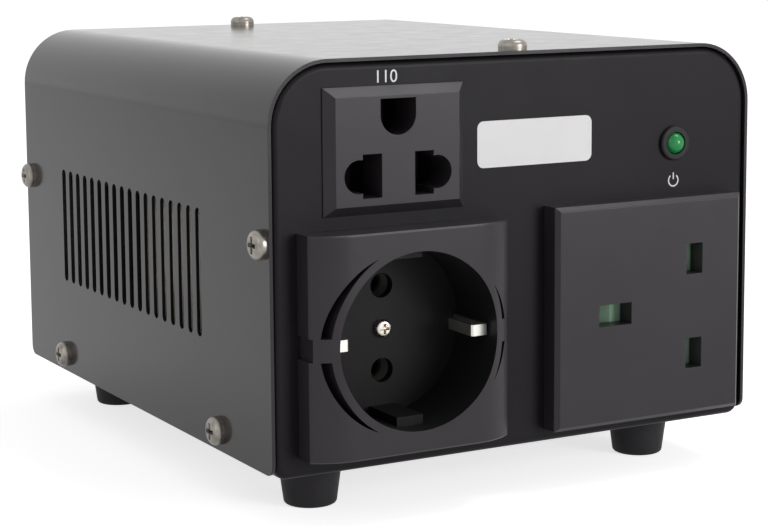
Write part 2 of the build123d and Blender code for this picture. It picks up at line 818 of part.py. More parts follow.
def make_shutter():
    """Sliding plate: a bar behind the two pin slots, and an arm with a ramp at the earth slot."""
    y = (uk_wall_y + shutter_clearance, uk_wall_y + shutter_clearance + shutter_thickness)
    bar_x = around(uk_x + uk_pin_offset, uk_pin_width + 2 * shutter_margin)
    bar = block(bar_x, y, around(uk_z, uk_pin_spacing + uk_pin_height + shutter_end_margin))
    ramp_x = uk_x + uk_earth_offset + uk_earth_length / 2 - shutter_ramp_reach
    join_x = bar_x[0] + 1
    outline = [(ramp_x, y[1]), (ramp_x + shutter_thickness, y[0]), (join_x, y[0]), (join_x, y[1])]
    return bar + plate_xy(outline, around(uk_z, shutter_arm_height))


def make_shutter_spring():
    """Bent leaf between the shutter's bar and the body's right wall."""
    low = uk_x + uk_pin_offset + uk_pin_width / 2 + shutter_margin + seat_clearance
    high = uk_x + uk_body_width / 2 - uk_body_wall - seat_clearance
    y = uk_wall_y + shutter_clearance + 0.4
    depth = shutter_thickness - 0.8
    fold = 2 * (high - low) / spring_height
    rise = spring_strip * math.sqrt(1 + fold * fold) / fold
    half = spring_height / 2
    points = [(low, -half), (high, 0), (low, half),
              (low, half - rise), (high - rise * fold, 0), (low, rise - half)]
    outline = make_face(Polyline(*points, close=True))
    leaf = Rot(90, 0, 0) * extrude(outline, -depth)
    return Pos(0, y, uk_z) * leaf


uk_contact_front = uk_back_front + uk_pocket_setback


def uk_contact_places():
    pins = [(uk_x + uk_pin_offset, uk_z + side * uk_pin_spacing / 2) for side in (-1, 1)]
    return pins, (uk_x + uk_earth_offset, uk_z)


def make_uk_back():
    """Rear housing: its front closes the shutter's room, and its block holds the contact pockets."""
    y = (uk_back_front, uk_back_end)
    back = rounded_y(uk_back_width, uk_back_width, uk_back_corner_radius, uk_x, y, uk_z)
    front_room = block(around(uk_x, uk_back_width + 1), (panel_y - 1, panel_back_y + seat_clearance),
                       around(uk_z, uk_back_width + 1))
    inner = block(around(uk_x, uk_body_width), (panel_y - 1, panel_back_y + seat_clearance),
                  around(uk_z, uk_body_width))
    back -= front_room - inner
    pins, earth = uk_contact_places()
    entry = (uk_back_front - 1, uk_contact_front + seat_clearance)
    pocket = (uk_contact_front, uk_contact_front + contact_length + 4 * uk_pocket_spare)
    rear = (uk_contact_front, uk_back_end + 1)
    tail_wide = contact_tail_width + 4 * seat_clearance
    tail_thin = contact_sheet + 4 * seat_clearance
    spare = 2 * uk_pocket_spare
    leaves = 2 * contact_sheet + spare
    for x, z in pins:
        back -= block(around(x, uk_pin_width), entry, around(z, uk_pin_height))
        back -= block(around(x, uk_pin_width + leaves), pocket, around(z, uk_pin_height + spare))
        back -= block(around(x, tail_thin), rear, around(z, tail_wide))
    x, z = earth
    back -= block(around(x, uk_earth_length), entry, around(z, uk_earth_height))
    back -= block(around(x, uk_earth_length + spare), pocket, around(z, uk_earth_height + leaves))
    back -= block(around(x, tail_wide), rear, around(z, tail_thin))
    for side in (-1, 1):
        screw_z = uk_z + side * uk_screw_offset
        back -= rod_y(uk_boss_bore + screw_clearance, uk_x - uk_screw_offset, (y[0] - 1, y[1] + 1), screw_z)
    return back


def uk_contact(place, opening, height, across):
    front = uk_contact_front + uk_pocket_spare
    y = (front, front + contact_length)
    return flat_contact(opening, height, place[0], y, place[1], uk_back_end + contact_tail_length, across)


def make_uk_screws():
    length = uk_back_end - uk_wall_y + uk_screw_bite
    screw = Rot(-90, 0, 0) * pan_screw(uk_screw_radius, uk_screw_head_radius, uk_screw_head_height, length)
    x = uk_x - uk_screw_offset
    return [Pos(x, uk_back_end, uk_z + side * uk_screw_offset) * screw for side in (-1, 1)]


def make_lamp_holder():
    holder = rod_y(lamp_holder_radius, lamp_x, (panel_y - lamp_holder_proud, panel_y), lamp_z)
    holder = fillet(holder.edges().group_by(Axis.Y)[0], lamp_holder_edge_radius)
    holder += rod_y(lamp_holder_barrel_radius, lamp_x, (panel_y - 0.2, panel_y + lamp_holder_depth), lamp_z)
    catch_y = (panel_back_y + seat_clearance, panel_back_y + lamp_holder_catch_length)
    holder += rod_y(lamp_holder_barrel_radius + lamp_holder_catch_reach, lamp_x, catch_y, lamp_z)
    bore = (panel_y - lamp_holder_proud - 1, panel_y + lamp_holder_depth + 1)
    return holder - rod_y(lamp_radius + seat_clearance, lamp_x, bore, lamp_z)


lamp_front = panel_y - lamp_proud
lamp_back = lamp_front + lamp_length


def make_lamp():
    lens = rod_y(lamp_radius, lamp_x, (lamp_front + lamp_radius, lamp_back), lamp_z)
    lens += Pos(lamp_x, lamp_front + lamp_radius, lamp_z) * Sphere(lamp_radius)
    return lens + rod_y(lamp_rim_radius, lamp_x, (lamp_back - lamp_rim_length, lamp_back), lamp_z)


def make_lamp_leads():
    leads = []
    for side in (-1, 1):
        x = lamp_x + side * lamp_lead_spacing / 2
        leads.append(block(around(x, lamp_lead_width), (lamp_back, lamp_back + lamp_lead_length),
                           around(lamp_z, lamp_lead_width)))
    return leads


def make_label():
    y = (panel_y - label_thickness, panel_y)
    z = cover_top_z - label_top_margin
    return rounded_y(label_width, label_height, label_corner_radius, label_offset_x, y, z)


winding_low = floor_z + pad_thickness
winding_high = winding_low + winding_height
dish_low = winding_high + pad_thickness


def ring_solid(inner, outer, z, corner=0.0):
    """Ring with a rectangular section and rounded edges."""
    body = rod_z(outer, ring_x, ring_y, z) - rod_z(inner, ring_x, ring_y, (z[0] - 1, z[1] + 1))
    return fillet(body.edges().filter_by(GeomType.CIRCLE), corner) if corner else body


def wrapped_ring(inset):
    """The transformer's outside shape drawn in by an inset."""
    return ring_solid(winding_bore_radius + inset, winding_radius - inset,
                      (winding_low + inset, winding_high - inset), winding_edge_radius - inset)


def make_film():
    """Insulating film wrapped round the whole winding."""
    return wrapped_ring(0) - wrapped_ring(film_thickness)


def make_winding():
    middle = (winding_low + winding_high) / 2
    space = ring_solid(core_inner_radius - seat_clearance, core_outer_radius + seat_clearance,
                       around(middle, core_height + 2 * seat_clearance))
    return wrapped_ring(film_thickness + seat_clearance) - space


def make_core():
    middle = (winding_low + winding_high) / 2
    return ring_solid(core_inner_radius, core_outer_radius, around(middle, core_height))


def make_dish():
    """Steel washer with a flat rim on the upper pad and a sunken middle."""
    bore = ring_bolt_radius + screw_clearance
    rim = pad_outer_radius
    slope_top = pad_inner_radius - 1
    low = -dish_well_depth
    inset = dish_sheet / 2
    points = [(bore, low), (dish_well_radius, low), (slope_top, 0), (rim, 0),
              (rim, dish_sheet), (slope_top - inset, dish_sheet),
              (dish_well_radius - inset, low + dish_sheet), (bore, low + dish_sheet)]
    profile = make_face(Polyline(*[(x, 0, z) for x, z in points], close=True))
    return Pos(ring_x, ring_y, dish_low) * revolve(profile, Axis.Z)


ring_nut_low = dish_low - dish_well_depth + dish_sheet


def make_ring_bolt():
    head = hex_z(ring_bolt_head_across_flats, ring_x, ring_y, (chassis_z - ring_bolt_head_height, chassis_z))
    top = ring_nut_low + ring_nut_height + ring_bolt_spare
    return head + rod_z(ring_bolt_radius, ring_x, ring_y, (chassis_z - 1, top))


def make_ring_nut():
    z = (ring_nut_low, ring_nut_low + ring_nut_height)
    nut = hex_z(ring_bolt_head_across_flats, ring_x, ring_y, z)
    return nut - rod_z(ring_bolt_radius + thread_clearance, ring_x, ring_y, (z[0] - 1, z[1] + 1))


inlet_front = rear_panel_y + inlet_bezel_proud
inlet_floor = inlet_front - inlet_well_depth
inlet_back = rear_panel_y - inlet_body_depth


def side_catches(x, width):
    """Wedges at both sides of a rear body that snap behind the panel."""
    behind = rear_panel_y - chassis_sheet - seat_clearance
    catches = []
    for side in (-1, 1):
        edge = x + side * width / 2
        inner = edge - side * catch_reach
        outer = edge + side * catch_reach
        tip = behind - catch_length
        wedge = [(inner, behind), (outer, behind), (edge, tip), (inner, tip)]
        catches.append(plate_xy(wedge, around(row_z, catch_width)))
    return catches


def make_inlet_body():
    bezel = rounded_y(inlet_bezel_width, inlet_bezel_height, inlet_bezel_corner_radius, inlet_centre_x,
                      (rear_panel_y, inlet_front), row_z)
    bezel = fillet(bezel.faces().sort_by(Axis.Y)[-1].edges(), inlet_bezel_edge_radius)
    body = bezel + block(around(inlet_centre_x, inlet_body_width), (inlet_back, rear_panel_y + 0.5),
                         around(row_z, inlet_body_height))
    half_w = inlet_well_width / 2
    half_h = inlet_well_height / 2
    cut = inlet_well_corner
    outline = [(-half_w, -half_h), (half_w, -half_h), (half_w, half_h - cut), (half_w - cut, half_h),
               (cut - half_w, half_h), (-half_w, half_h - cut)]
    well = extrude(make_face(Polyline(*outline, close=True)), -(inlet_well_depth + 1))
    body -= Pos(inlet_centre_x, inlet_floor, row_z) * Rot(90, 0, 0) * well
    spare = 2 * seat_clearance
    for x, z in inlet_pin_places():
        body -= block(around(x, inlet_pin_width + spare), (inlet_back - 1, inlet_floor + 1),
                      around(z, inlet_pin_height + spare))
    return body + side_catches(inlet_centre_x, inlet_body_width)


def inlet_pin_places():
    low = row_z - inlet_pin_drop
    row = [(inlet_centre_x + side * inlet_pin_spacing, low) for side in (-1, 1)]
    return row + [(inlet_centre_x, low + inlet_earth_rise)]


def make_inlet_pins():
    pins = []
    for x, z in inlet_pin_places():
        pin = block(around(x, inlet_pin_width), (inlet_back, inlet_floor + inlet_pin_length),
                    around(z, inlet_pin_height))
        pin = chamfer(pin.faces().sort_by(Axis.Y)[-1].edges(), inlet_pin_tip)
        pins.append(pin + block(around(x, inlet_tab_width), (inlet_back - inlet_tab_length, inlet_back + 1),
                                around(z, inlet_tab_height - inlet_tab_fold)))
    return pins


rocker_pivot_y = rear_panel_y + rocker_bezel_proud - rocker_pivot_depth
rocker_back = rear_panel_y - rocker_body_depth


def make_rocker_housing():
    bezel = rounded_y(rocker_bezel_width, rocker_bezel_height, rocker_bezel_corner_radius, rocker_centre_x,
                      (rear_panel_y, rear_panel_y + rocker_bezel_proud), row_z)
    bezel = fillet(bezel.faces().sort_by(Axis.Y)[-1].edges(), rocker_bezel_edge_radius)
    body = bezel + block(around(rocker_centre_x, rocker_body_width), (rocker_back, rear_panel_y + 0.5),
                         around(row_z, rocker_body_height))
    well_floor = rear_panel_y + rocker_bezel_proud - rocker_well_depth
    well_y = (well_floor, rear_panel_y + rocker_bezel_proud + 1)
    body -= block(around(rocker_centre_x, rocker_well_width), well_y, around(row_z, rocker_well_height))
    reach = rocker_well_height + 2 * (rocker_pin_length - rocker_gap + 0.1)
    body -= rod_z(rocker_pin_radius + rocker_pin_clearance, rocker_centre_x, rocker_pivot_y,
                  around(row_z, reach))
    return body + side_catches(rocker_centre_x, rocker_body_width)


def make_rocker():
    """Rocker key: a shallow V across its front, ends curved about the pivot, and two pivot pins."""
    radius = rocker_well_width / 2 - rocker_gap
    height = rocker_well_height - 2 * rocker_gap
    surface = rear_panel_y + rocker_bezel_proud - rocker_pivot_y
    outline = [(-radius - 1, -rocker_skirt), (radius + 1, -rocker_skirt),
               (radius + 1, surface + rocker_end_proud),
               (radius - 1, surface + rocker_end_proud), (0, surface + rocker_middle_proud),
               (1 - radius, surface + rocker_end_proud), (-radius - 1, surface + rocker_end_proud)]
    key = plate_xy(outline, around(0, height)) & Cylinder(radius, height)
    key += Cylinder(rocker_pin_radius, height + 2 * rocker_pin_length)
    return Pos(rocker_centre_x, rocker_pivot_y, row_z) * key


def make_rocker_tabs():
    tabs = []
    for number in (-1, 0, 1):
        x = rocker_centre_x + number * rocker_tab_spacing
        tabs.append(block(around(x, inlet_tab_width), (rocker_back - inlet_tab_length, rocker_back),
                          around(row_z, inlet_tab_height)))
    return tabs


breaker_front = rear_panel_y + breaker_barrel_proud
breaker_body_front = rear_panel_y - chassis_sheet - breaker_body_gap
breaker_back = breaker_body_front - breaker_body_depth


def make_breaker_body():
    body = block(around(breaker_centre_x, breaker_body_width), (breaker_back, breaker_body_front),
                 around(row_z, breaker_body_height))
    body += rod_y(breaker_barrel_radius + breaker_shoulder, breaker_centre_x,
                  (breaker_body_front - 0.5, rear_panel_y - chassis_sheet), row_z)
    body += rod_y(breaker_barrel_radius, breaker_centre_x, (breaker_body_front - 1, breaker_front), row_z)
    bore = (breaker_front - breaker_bore_depth, breaker_front + 1)
    return body - rod_y(breaker_bore_radius, breaker_centre_x, bore, row_z)


def make_breaker_nut():
    nut = hex_z(breaker_nut_across_flats, 0, 0, (0, breaker_nut_height))
    nut -= Cylinder(breaker_barrel_radius + thread_clearance, 4 * breaker_nut_height)
    return Pos(breaker_centre_x, rear_panel_y, row_z) * Rot(-90, 0, 0) * nut


def make_breaker_button():
    end = breaker_front + button_proud
    radius = breaker_bore_radius - button_bore_clearance
    button = rod_y(radius, breaker_centre_x, (end - button_length, end), row_z)
    return fillet(button.edges().group_by(Axis.Y)[-1], button_edge_radius)


def make_breaker_tabs():
    tabs = []
    for side in (-1, 1):
        z = row_z + side * breaker_tab_offset
        tabs.append(block(around(breaker_centre_x, inlet_tab_height),
                          (breaker_back - inlet_tab_length, breaker_back), around(z, inlet_tab_width)))
    return tabs


def make_stud():
    return rod_z(stud_radius, stud_x, front_y + stud_y, (chassis_z, floor_z + stud_height))


def make_stud_washer():
    y = front_y + stud_y
    washer = rod_z(stud_washer_radius, stud_x, y, (floor_z, floor_z + stud_washer_thickness))
    return washer - rod_z(stud_radius + screw_clearance, stud_x, y, (floor_z - 1, floor_z + 2))


def make_stud_nut():
    y = front_y + stud_y
    z = (floor_z + stud_washer_thickness, floor_z + stud_washer_thickness + stud_nut_height)
    nut = hex_z(stud_nut_across_flats, stud_x, y, z)
    return nut - rod_z(stud_radius + thread_clearance, stud_x, y, (z[0] - 1, z[1] + 1))


write("cover", make_cover())
write("chassis", make_chassis())
write("cover_side_screws", *make_side_screws())
write("cover_top_screws", *make_top_screws())
for place, (foot_x, foot_y) in foot_places.items():
    write("foot_" + place, make_foot(foot_x, foot_y))
write("foot_screws", *[make_foot_screw(x, y) for x, y in foot_places.values()])
write("foot_nuts", *[make_foot_nut(x, y) for x, y in foot_places.values()])

write("flat_socket_body", make_us_body())
write("flat_socket_back", make_us_back())
blade_places, earth_place = us_contact_places()
write("flat_socket_contacts", *[us_contact(x, z, us_pin_opening, us_slot_height) for x, z in blade_places])
write("flat_socket_earth_contact", us_contact(*earth_place, us_earth_width, us_earth_height))

write("round_socket_face", make_round_face())
write("round_socket_base", make_round_base())
write("round_socket_earth_clip", make_earth_clip())
write("round_socket_contacts", make_round_contact(-1), make_round_contact(1))
write("round_socket_screw", make_centre_screw())

write("square_socket_face", make_uk_face())
write("square_socket_back", make_uk_back())
write("square_socket_shutter", make_shutter())
write("square_socket_shutter_spring", make_shutter_spring())
pin_places, square_earth = uk_contact_places()
pin_contacts = [uk_contact(place, uk_pin_width, uk_pin_height, True) for place in pin_places]
write("square_socket_contacts", *pin_contacts)
write("square_socket_earth_contact", uk_contact(square_earth, uk_earth_height, uk_earth_length, False))
write("square_socket_screws", *make_uk_screws())

write("lamp_holder", make_lamp_holder())
write("lamp", make_lamp())
write("lamp_leads", *make_lamp_leads())
write("blank_label", make_label())

write("transformer_core", make_core())
write("transformer_winding", make_winding())
write("transformer_film", make_film())
write("transformer_lower_pad", ring_solid(pad_inner_radius, pad_outer_radius, (floor_z, winding_low)))
write("transformer_upper_pad", ring_solid(pad_inner_radius, pad_outer_radius, (winding_high, dish_low)))
write("transformer_dish", make_dish())
write("transformer_bolt", make_ring_bolt())
write("transformer_nut", make_ring_nut())

write("inlet_body", make_inlet_body())
write("inlet_pins", *make_inlet_pins())
write("rocker_housing", make_rocker_housing())
write("rocker", make_rocker())
write("rocker_tabs", *make_rocker_tabs())
write("breaker_body", make_breaker_body())
write("breaker_nut", make_breaker_nut())
write("breaker_button", make_breaker_button())
write("breaker_tabs", *make_breaker_tabs())
write("earth_stud", make_stud())
write("earth_stud_washer", make_stud_washer())
write("earth_stud_nut", make_stud_nut())
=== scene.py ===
import json
import math

import bmesh
import bpy
from mathutils import Matrix, Vector


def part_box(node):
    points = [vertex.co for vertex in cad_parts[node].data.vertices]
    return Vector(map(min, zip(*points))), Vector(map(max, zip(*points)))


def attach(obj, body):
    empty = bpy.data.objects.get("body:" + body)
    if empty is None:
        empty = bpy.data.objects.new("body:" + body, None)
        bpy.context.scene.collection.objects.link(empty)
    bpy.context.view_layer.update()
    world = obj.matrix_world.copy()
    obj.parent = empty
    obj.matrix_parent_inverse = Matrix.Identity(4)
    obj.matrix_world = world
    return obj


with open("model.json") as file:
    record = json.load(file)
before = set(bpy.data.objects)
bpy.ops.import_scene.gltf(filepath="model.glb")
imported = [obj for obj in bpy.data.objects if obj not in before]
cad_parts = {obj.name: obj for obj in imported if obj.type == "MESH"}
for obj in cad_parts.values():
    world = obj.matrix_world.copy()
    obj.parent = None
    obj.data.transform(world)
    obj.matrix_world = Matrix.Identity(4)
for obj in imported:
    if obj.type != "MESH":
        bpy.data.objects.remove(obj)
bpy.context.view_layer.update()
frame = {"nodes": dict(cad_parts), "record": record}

MM = 0.001
NODES = frame["nodes"]

# Camera: place, the way it looks and its upper side, in the frame of the object, in metres; its sensor and
# lens are in mm
camera_place = Vector((-0.24589, -0.45469, 0.12758))
camera_forward = Vector((0.48064, 0.86680, -0.13279))
camera_up = Vector((0.07037, 0.11281, 0.99112))
camera_sensor = 36.0
camera_lens = 96.05
camera_shift_y = -0.082
camera_nearest = 0.01
camera_farthest = 20.0

# Lamps: name, place, size, power in watts; all of them point at the target
lamps = [
    ("key_lamp", (0.47, -0.95, 0.28), 0.45, 4.6),
    ("left_lamp", (-0.90, -0.35, 0.55), 0.6, 0.5),
    ("top_lamp", (0.42, -0.15, 1.00), 0.5, 3.0),
]
lamp_target = Vector((0, 0, 0.05))

# World and floor: the level of the world's light on the object, and the levels at which the camera and
# reflections see the two
world_level = 0.40
backdrop_level = 1.0
white = (1.0, 1.0, 1.0, 1.0)
floor_colour = (0.86, 0.86, 0.86, 1.0)
floor_glow = 0.72
floor_reflected_glow = 0.45
floor_half = 3.0

# Rounded edges on the pieces that come from the frame. Points closer than the weld distance are joined and
# faces within the flat angle are merged, then edges sharper than the sharp angle are rounded. Both angles
# are in degrees
rounded_nodes = ("flat_socket_body", "round_socket_face", "square_socket_face", "cover", "chassis",
                 "inlet_body", "rocker_housing", "rocker", "lamp_holder", "breaker_nut", "breaker_body")
weld_distance = 0.001 * MM
flat_angle = 0.5
sharp_angle = 40
edge_radius = 0.12 * MM
edge_steps = 2

# White print: its thickness, the height of every number, and the place of the one over the flat socket
ink_thickness = 0.04 * MM
number_height = 2.7 * MM
number_shift = -1.45 * MM
number_gap = 1.9 * MM

# Sign under the lamp: the ring's opening is in degrees to each side of its top, the bar's ends in ring radii
sign_drop = 8.7 * MM
sign_radius = 1.35 * MM
sign_line = 0.34 * MM
sign_opening = 38.0
sign_steps = 40
sign_bar_start = 0.2
sign_bar_end = 1.35

# Numbers over the rear selector: name, text, and how many offsets from the middle it stands, along X
rocker_numbers = [("rear_number_low", "110", 1), ("rear_number_off", "0", 0), ("rear_number_high", "220", -1)]
rocker_number_gap = 2.6 * MM
rocker_number_offset = 9.0 * MM

# Inside of the round socket's recess, darker than its plate: partly its own darker plastic, partly painted
# shade. Radius, and how far behind the front it starts
recess_radius = 19.55 * MM
recess_start = 1.2 * MM

# Pieces whose finish differs from their slot's: contacts deep in the sockets, near black for painted shade,
# and the screws of the cover, darker for their own dark nickel and painted shade
finishes = {
    "flat_socket_contacts": "contact_metal_in_painted_shade",
    "flat_socket_earth_contact": "contact_metal_in_painted_shade",
    "round_socket_contacts": "contact_metal_in_painted_shade",
    "square_socket_contacts": "contact_metal_in_painted_shade",
    "square_socket_earth_contact": "contact_metal_in_painted_shade",
    "cover_side_screws": "dark_nickel_and_shade",
    "cover_top_screws": "dark_nickel_and_shade",
}

# Surfaces: dark and light tint, least and most roughness, the grain's cells per metre and its depth. Patch
# gives the tints' cells per metre, and wave the depth of a slow unevenness
surfaces = {
    "cover_paint": dict(dark=(0.016, 0.013, 0.016), light=(0.021, 0.0175, 0.021), rough=(0.12, 0.16),
                        grain=2600.0, depth=0.0018 * MM, specular=0.36, wave=0.006 * MM),
    "panel_paint": dict(dark=(0.0098, 0.008, 0.010), light=(0.0118, 0.010, 0.012), rough=(0.34, 0.42),
                        grain=2600.0, depth=0.008 * MM, specular=0.12, wave=0.02 * MM),
    "nickel_steel": dict(dark=(0.60, 0.56, 0.51), light=(0.74, 0.70, 0.64), rough=(0.16, 0.34),
                         grain=5200.0, depth=0.004 * MM, metallic=1.0, patch=420.0),
    # Darker nickel of the cover's screws: partly their own dark finish, partly painted shade for the darker
    # surroundings they reflect
    "dark_nickel_and_shade": dict(dark=(0.20, 0.185, 0.165), light=(0.36, 0.335, 0.30), rough=(0.22, 0.40),
                        grain=5200.0, depth=0.006 * MM, metallic=1.0, patch=420.0),
    "zinc_steel": dict(dark=(0.50, 0.50, 0.48), light=(0.62, 0.62, 0.61), rough=(0.28, 0.46),
                       grain=4200.0, depth=0.006 * MM, metallic=1.0, patch=300.0),
    "foot_rubber": dict(dark=(0.010, 0.0085, 0.011), light=(0.016, 0.014, 0.0165), rough=(0.52, 0.66),
                        grain=2200.0, depth=0.02 * MM, specular=0.3),
    "socket_plastic": dict(dark=(0.026, 0.022, 0.026), light=(0.030, 0.026, 0.030), rough=(0.28, 0.34),
                           grain=2100.0, depth=0.008 * MM, specular=0.26, wave=0.015 * MM),
    # Darker plastic inside the round socket's recess: partly the insert's own colour, partly painted shade
    "recess_plastic_and_shade": dict(dark=(0.009, 0.009, 0.0093), light=(0.011, 0.011, 0.0113), rough=(0.42, 0.52),
                           grain=2100.0, depth=0.01 * MM, specular=0.14),
    "black_plastic": dict(dark=(0.010, 0.010, 0.010), light=(0.015, 0.015, 0.015), rough=(0.32, 0.42),
                          grain=2300.0, depth=0.012 * MM, specular=0.2),
    "base_plastic": dict(dark=(0.20, 0.19, 0.17), light=(0.26, 0.25, 0.23), rough=(0.5, 0.6),
                         grain=1500.0, depth=0.02 * MM),
    "shutter_plastic": dict(dark=(0.30, 0.50, 0.34), light=(0.38, 0.58, 0.42), rough=(0.4, 0.5),
                            grain=1500.0, depth=0.01 * MM),
    "contact_metal": dict(dark=(0.66, 0.65, 0.60), light=(0.80, 0.79, 0.74), rough=(0.30, 0.38),
                          grain=1200.0, depth=0.001 * MM, metallic=1.0, patch=260.0),
    "lamp_lens": dict(dark=(0.002, 0.21, 0.045), light=(0.006, 0.28, 0.07), rough=(0.05, 0.09),
                      grain=900.0, depth=0.002 * MM, specular=0.4, patch=500.0),
    # Near-black metal of the contacts deep in the sockets: painted shade where the slots and holes are dark
    # inside
    "contact_metal_in_painted_shade": dict(dark=(0.030, 0.029, 0.027), light=(0.045, 0.043, 0.040), rough=(0.42, 0.55),
                               grain=3600.0, depth=0.008 * MM, metallic=1.0, patch=260.0),
    "label_film": dict(dark=(0.69, 0.68, 0.69), light=(0.73, 0.72, 0.73), rough=(0.30, 0.40),
                       grain=1500.0, depth=0.004 * MM),
    "core_steel": dict(dark=(0.20, 0.20, 0.22), light=(0.32, 0.32, 0.34), rough=(0.35, 0.5),
                       grain=2400.0, depth=0.01 * MM, metallic=1.0),
    "copper_wire": dict(dark=(0.50, 0.22, 0.08), light=(0.62, 0.30, 0.12), rough=(0.25, 0.4),
                        grain=900.0, depth=0.05 * MM, metallic=1.0),
    "wrap_film": dict(dark=(0.74, 0.71, 0.56), light=(0.82, 0.80, 0.70), rough=(0.12, 0.26),
                      grain=260.0, depth=0.25 * MM, coat=0.4),
    "button_plastic": dict(dark=(0.38, 0.012, 0.012), light=(0.46, 0.018, 0.016), rough=(0.25, 0.34),
                           grain=1600.0, depth=0.008 * MM),
}

# Noise of the surfaces: the span of its values that is used, how much finer the cells of the roughness are
# than those of the tints, the detail of each layer, and the noise's own roughness
noise_low = 0.3
noise_high = 0.7
rough_finer = 3.1
tint_detail = 4.0
rough_detail = 3.0
grain_detail = 2.0
wave_scale = 60.0
wave_detail = 1.0
usual_roughness = 0.55
grain_roughness = 0.6


def shader(name):
    """Empty material, its node tree and the shader that ends it."""
    mat = bpy.data.materials.new(name)
    mat.use_nodes = True
    tree = mat.node_tree
    tree.nodes.clear()
    out = tree.nodes.new("ShaderNodeOutputMaterial")
    main = tree.nodes.new("ShaderNodeBsdfPrincipled")
    tree.links.new(main.outputs["BSDF"], out.inputs["Surface"])
    return mat, tree, main


def noise(tree, scale, detail, roughness=usual_roughness):
    """Noise in the object's own coordinates, with its number of cells per metre."""
    where = tree.nodes.new("ShaderNodeTexCoord")
    texture = tree.nodes.new("ShaderNodeTexNoise")
    texture.inputs["Scale"].default_value = scale
    texture.inputs["Detail"].default_value = detail
    texture.inputs["Roughness"].default_value = roughness
    tree.links.new(where.outputs["Object"], texture.inputs["Vector"])
    return texture.outputs["Fac"]


def spread(tree, value, low, high):
    """Map the used span of a noise value to a range."""
    ranger = tree.nodes.new("ShaderNodeMapRange")
    ranger.inputs["From Min"].default_value = noise_low
    ranger.inputs["From Max"].default_value = noise_high
    ranger.inputs["To Min"].default_value = low
    ranger.inputs["To Max"].default_value = high
    tree.links.new(value, ranger.inputs["Value"])
    return ranger.outputs["Result"]


def blend_colours(tree, value, first, second):
    """Colour between two, chosen by a value from 0 to 1."""
    mixer = tree.nodes.new("ShaderNodeMix")
    mixer.data_type = "RGBA"
    mixer.inputs["A"].default_value = (*first, 1.0)
    mixer.inputs["B"].default_value = (*second, 1.0)
    tree.links.new(value, mixer.inputs["Factor"])
    return mixer.outputs["Result"]


def add_bump(tree, main, layers):
    """Chain of bumps: each layer is a height value and its depth in metres."""
    normal = None
    for height, depth in layers:
        bump = tree.nodes.new("ShaderNodeBump")
        bump.inputs["Strength"].default_value = 1.0
        bump.inputs["Distance"].default_value = depth
        tree.links.new(height, bump.inputs["Height"])
        if normal is not None:
            tree.links.new(normal, bump.inputs["Normal"])
        normal = bump.outputs["Normal"]
    tree.links.new(normal, main.inputs["Normal"])


def finish_material(name, dark, light, rough, grain, depth, specular=0.5, metallic=0.0, coat=0.0,
                    patch=45.0, wave=0.0):
    """Common surface: two close tints in soft patches, uneven roughness and a fine grain."""
    mat, tree, main = shader(name)
    tint = spread(tree, noise(tree, patch, tint_detail), 0.0, 1.0)
    tree.links.new(blend_colours(tree, tint, dark, light), main.inputs["Base Color"])
    uneven = spread(tree, noise(tree, patch * rough_finer, rough_detail), *rough)
    tree.links.new(uneven, main.inputs["Roughness"])
    main.inputs["Specular IOR Level"].default_value = specular
    main.inputs["Metallic"].default_value = metallic
    main.inputs["Coat Weight"].default_value = coat
    layers = [(noise(tree, grain, grain_detail, grain_roughness), depth)]
    if wave:
        layers.append((noise(tree, wave_scale, wave_detail), wave))
    add_bump(tree, main, layers)
    return mat


def dress_nodes():
    """Give every node its material, from the record's own list of slots."""
    for entry in frame["record"]["subparts"]:
        piece = NODES[entry["node"]]
        piece.data.materials.clear()
        piece.data.materials.append(materials[finishes.get(entry["node"], entry["material_slot"])])


def darken_recess():
    """Second material on the walls and floor of the round socket's recess: a darker plastic that is partly
    its own colour and partly painted shade.
    """
    piece = NODES["round_socket_face"]
    low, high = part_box("round_socket_screw")
    axis = Vector(((low[0] + high[0]) / 2, 0, (low[2] + high[2]) / 2))
    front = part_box("round_socket_face")[0][1]
    recess_index = len(piece.data.materials)
    piece.data.materials.append(materials["recess_plastic_and_shade"])
    for face in piece.data.polygons:
        place = piece.matrix_world @ face.center
        across = math.hypot(place.x - axis.x, place.z - axis.z)
        if across < recess_radius and place.y > front + recess_start:
            face.material_index = recess_index


def soften_edges(name):
    """Small rounding on the sharp edges of a node, as its paint or moulding has."""
    piece = NODES[name]
    weld = piece.modifiers.new("weld", "WELD")
    weld.merge_threshold = weld_distance
    merge = piece.modifiers.new("flat_faces", "DECIMATE")
    merge.decimate_type = "DISSOLVE"
    merge.angle_limit = math.radians(flat_angle)
    merge.delimit = {"MATERIAL"}
    bevel = piece.modifiers.new("bevel", "BEVEL")
    bevel.width = edge_radius
    bevel.segments = edge_steps
    bevel.limit_method = "ANGLE"
    bevel.angle_limit = math.radians(sharp_angle)
    normals = piece.modifiers.new("normals", "WEIGHTED_NORMAL")
    normals.keep_sharp = True


def number_mesh(name, text, height):
    """Flat number of a given height around the origin, facing +Z, with the thickness of the print."""
    curve = bpy.data.curves.new(name, "FONT")
    curve.body = text
    curve.extrude = ink_thickness
    shape = bpy.data.objects.new(name + "_curve", curve)
    bpy.context.scene.collection.objects.link(shape)
    graph = bpy.context.evaluated_depsgraph_get()
    mesh = bpy.data.meshes.new_from_object(shape.evaluated_get(graph))
    bpy.data.objects.remove(shape)
    xs = [v.co.x for v in mesh.vertices]
    ys = [v.co.y for v in mesh.vertices]
    scale = height / (max(ys) - min(ys))
    middle = Vector(((max(xs) + min(xs)) / 2, (max(ys) + min(ys)) / 2, 0))
    for v in mesh.vertices:
        depth = ink_thickness if v.co.z > 0 else 0
        v.co = (v.co - middle) * scale
        v.co.z = depth
    return mesh


